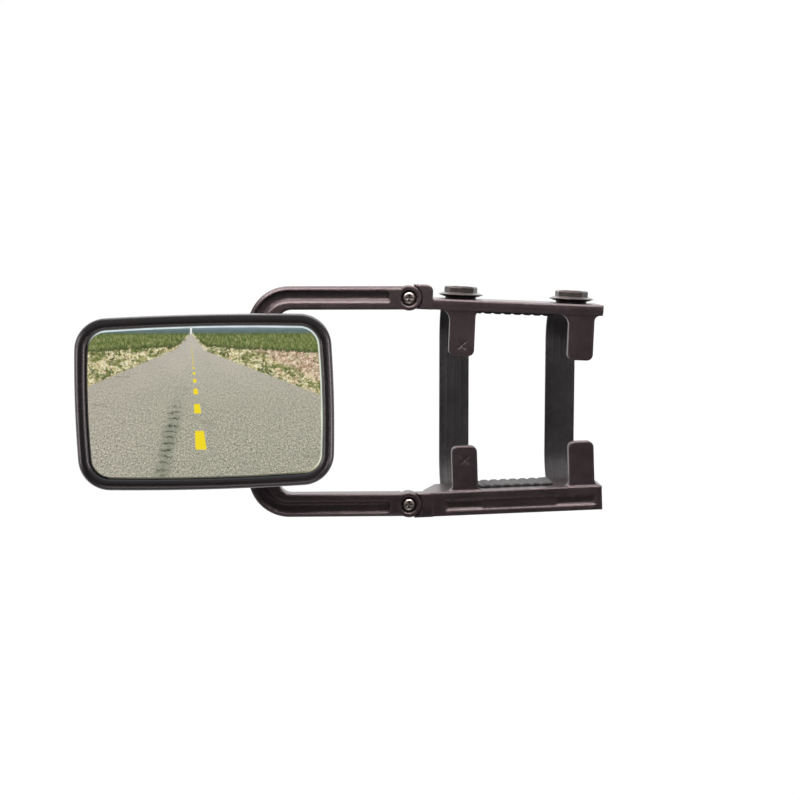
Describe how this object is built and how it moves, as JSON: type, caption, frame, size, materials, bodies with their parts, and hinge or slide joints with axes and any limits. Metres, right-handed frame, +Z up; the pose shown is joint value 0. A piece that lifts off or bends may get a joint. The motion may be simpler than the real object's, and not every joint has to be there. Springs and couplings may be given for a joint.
{
  "type": "clip-on towing mirror",
  "caption": "Extension mirror on a C-shaped frame that clamps over a vehicle's door mirror with padded fingers and straps tightened by rotary knobs.",
  "frame": {"origin": "middle of the clamp, in the plane of the four finger pads' gripping faces", "axes": "+X along the clamp away from the mirror head and towards the vehicle, -Y the side the driver looks at, +Z up"},
  "size_m": [0.4161, 0.1492, 0.1874],
  "materials": {
    "frame_plastic": "satin, lightly grained",
    "head_plastic": "satin",
    "knob_plastic": "satin",
    "drive_nylon": "natural nylon",
    "mirror": "polished, ground edge",
    "foam": "closed-cell foam",
    "black_screws": "black oxide",
    "zinc_steel": "zinc plated",
    "spring_steel": "plain",
    "rivets": "plain",
    "friction_washer": "acetal",
    "pad_rubber": "ribbed",
    "strap_rubber": "moulded rubber"
  },
  "bodies": {
    "yoke": {"yoke_frame": "frame_plastic", "pan_screw": "zinc_steel", "pan_nut": "zinc_steel", "pan_washers": "zinc_steel"},
    "swivel": {"swivel_block": "frame_plastic", "tilt_washers": "zinc_steel"},
    "head": {"head_bezel": "head_plastic", "head_shell": "head_plastic", "mirror_glass": "mirror", "glass_foam_pad": "foam", "case_screws": "zinc_steel", "tilt_screw": "zinc_steel", "tilt_nut": "zinc_steel"},
    "upper_clamp": {"upper_rail": "frame_plastic", "channel_cover": "frame_plastic", "cover_screws": "zinc_steel", "upper_liner": "pad_rubber", "upper_finger_pads": "pad_rubber", "upper_hinge_screw": "black_screws", "upper_hinge_nut": "zinc_steel", "upper_hinge_washer": "friction_washer", "detent_spring_a": "spring_steel", "detent_spring_b": "spring_steel"},
    "lower_clamp": {"lower_rail": "frame_plastic", "lower_liner": "pad_rubber", "lower_finger_pads": "pad_rubber", "lower_hinge_screw": "black_screws", "lower_hinge_nut": "zinc_steel", "lower_hinge_washer": "friction_washer", "anchor_pin_a": "zinc_steel", "anchor_pin_b": "zinc_steel"},
    "knob_a_drive": {"knob_a": "knob_plastic", "pinion_a": "drive_nylon", "knob_screw_a": "zinc_steel"},
    "knob_b_drive": {"knob_b": "knob_plastic", "pinion_b": "drive_nylon", "knob_screw_b": "zinc_steel"},
    "tongue_a": {"rack_tongue_a": "drive_nylon", "strap_rivets_a": "rivets", "strap_a": "strap_rubber"},
    "tongue_b": {"rack_tongue_b": "drive_nylon", "strap_rivets_b": "rivets", "strap_b": "strap_rubber"}
  },
  "joints": [
    {"name": "head_pan", "type": "hinge", "parent": "yoke", "child": "swivel", "pos_m": [-0.2499, -0.027, 0.005], "axis": [-0.0209, 0, 0.9998], "range_deg": [-12, 12]},
    {"name": "head_tilt", "type": "hinge", "parent": "swivel", "child": "head", "pos_m": [-0.2499, -0.045, 0.005], "axis": [0.9998, 0, 0.0209], "range_deg": [-7, 7]},
    {"name": "upper_rail_swing", "type": "hinge", "parent": "yoke", "child": "upper_clamp", "pos_m": [-0.09, 0, 0.083], "axis": [0, -1, 0], "range_deg": [-7, 20]},
    {"name": "lower_rail_swing", "type": "hinge", "parent": "yoke", "child": "lower_clamp", "pos_m": [-0.09, 0, -0.083], "axis": [0, 1, 0], "range_deg": [-7, 20]},
    {"name": "knob_a_turn", "type": "hinge", "parent": "upper_clamp", "child": "knob_a_drive", "pos_m": [-0.04643, 0.013, 0.08125], "axis": [0.0401, 0, 0.9992], "range_deg": [-100, 100]},
    {"name": "tongue_a_slide", "type": "slide", "parent": "upper_clamp", "child": "tongue_a", "axis": [0, 1, 0], "range_m": [-0.007, 0.007], "deforming": ["strap_a"]},
    {"name": "knob_b_turn", "type": "hinge", "parent": "upper_clamp", "child": "knob_b_drive", "pos_m": [0.04399, 0.013, 0.07762], "axis": [0.0401, 0, 0.9992], "range_deg": [-100, 100]},
    {"name": "tongue_b_slide", "type": "slide", "parent": "upper_clamp", "child": "tongue_b", "axis": [0, 1, 0], "range_m": [-0.007, 0.007], "deforming": ["strap_b"]}
  ],
  "couplings": [
    {"joint": "tongue_a_slide", "follows": "knob_a_turn", "m_per_rad": 0.004},
    {"joint": "tongue_b_slide", "follows": "knob_b_turn", "m_per_rad": 0.004}
  ]
}
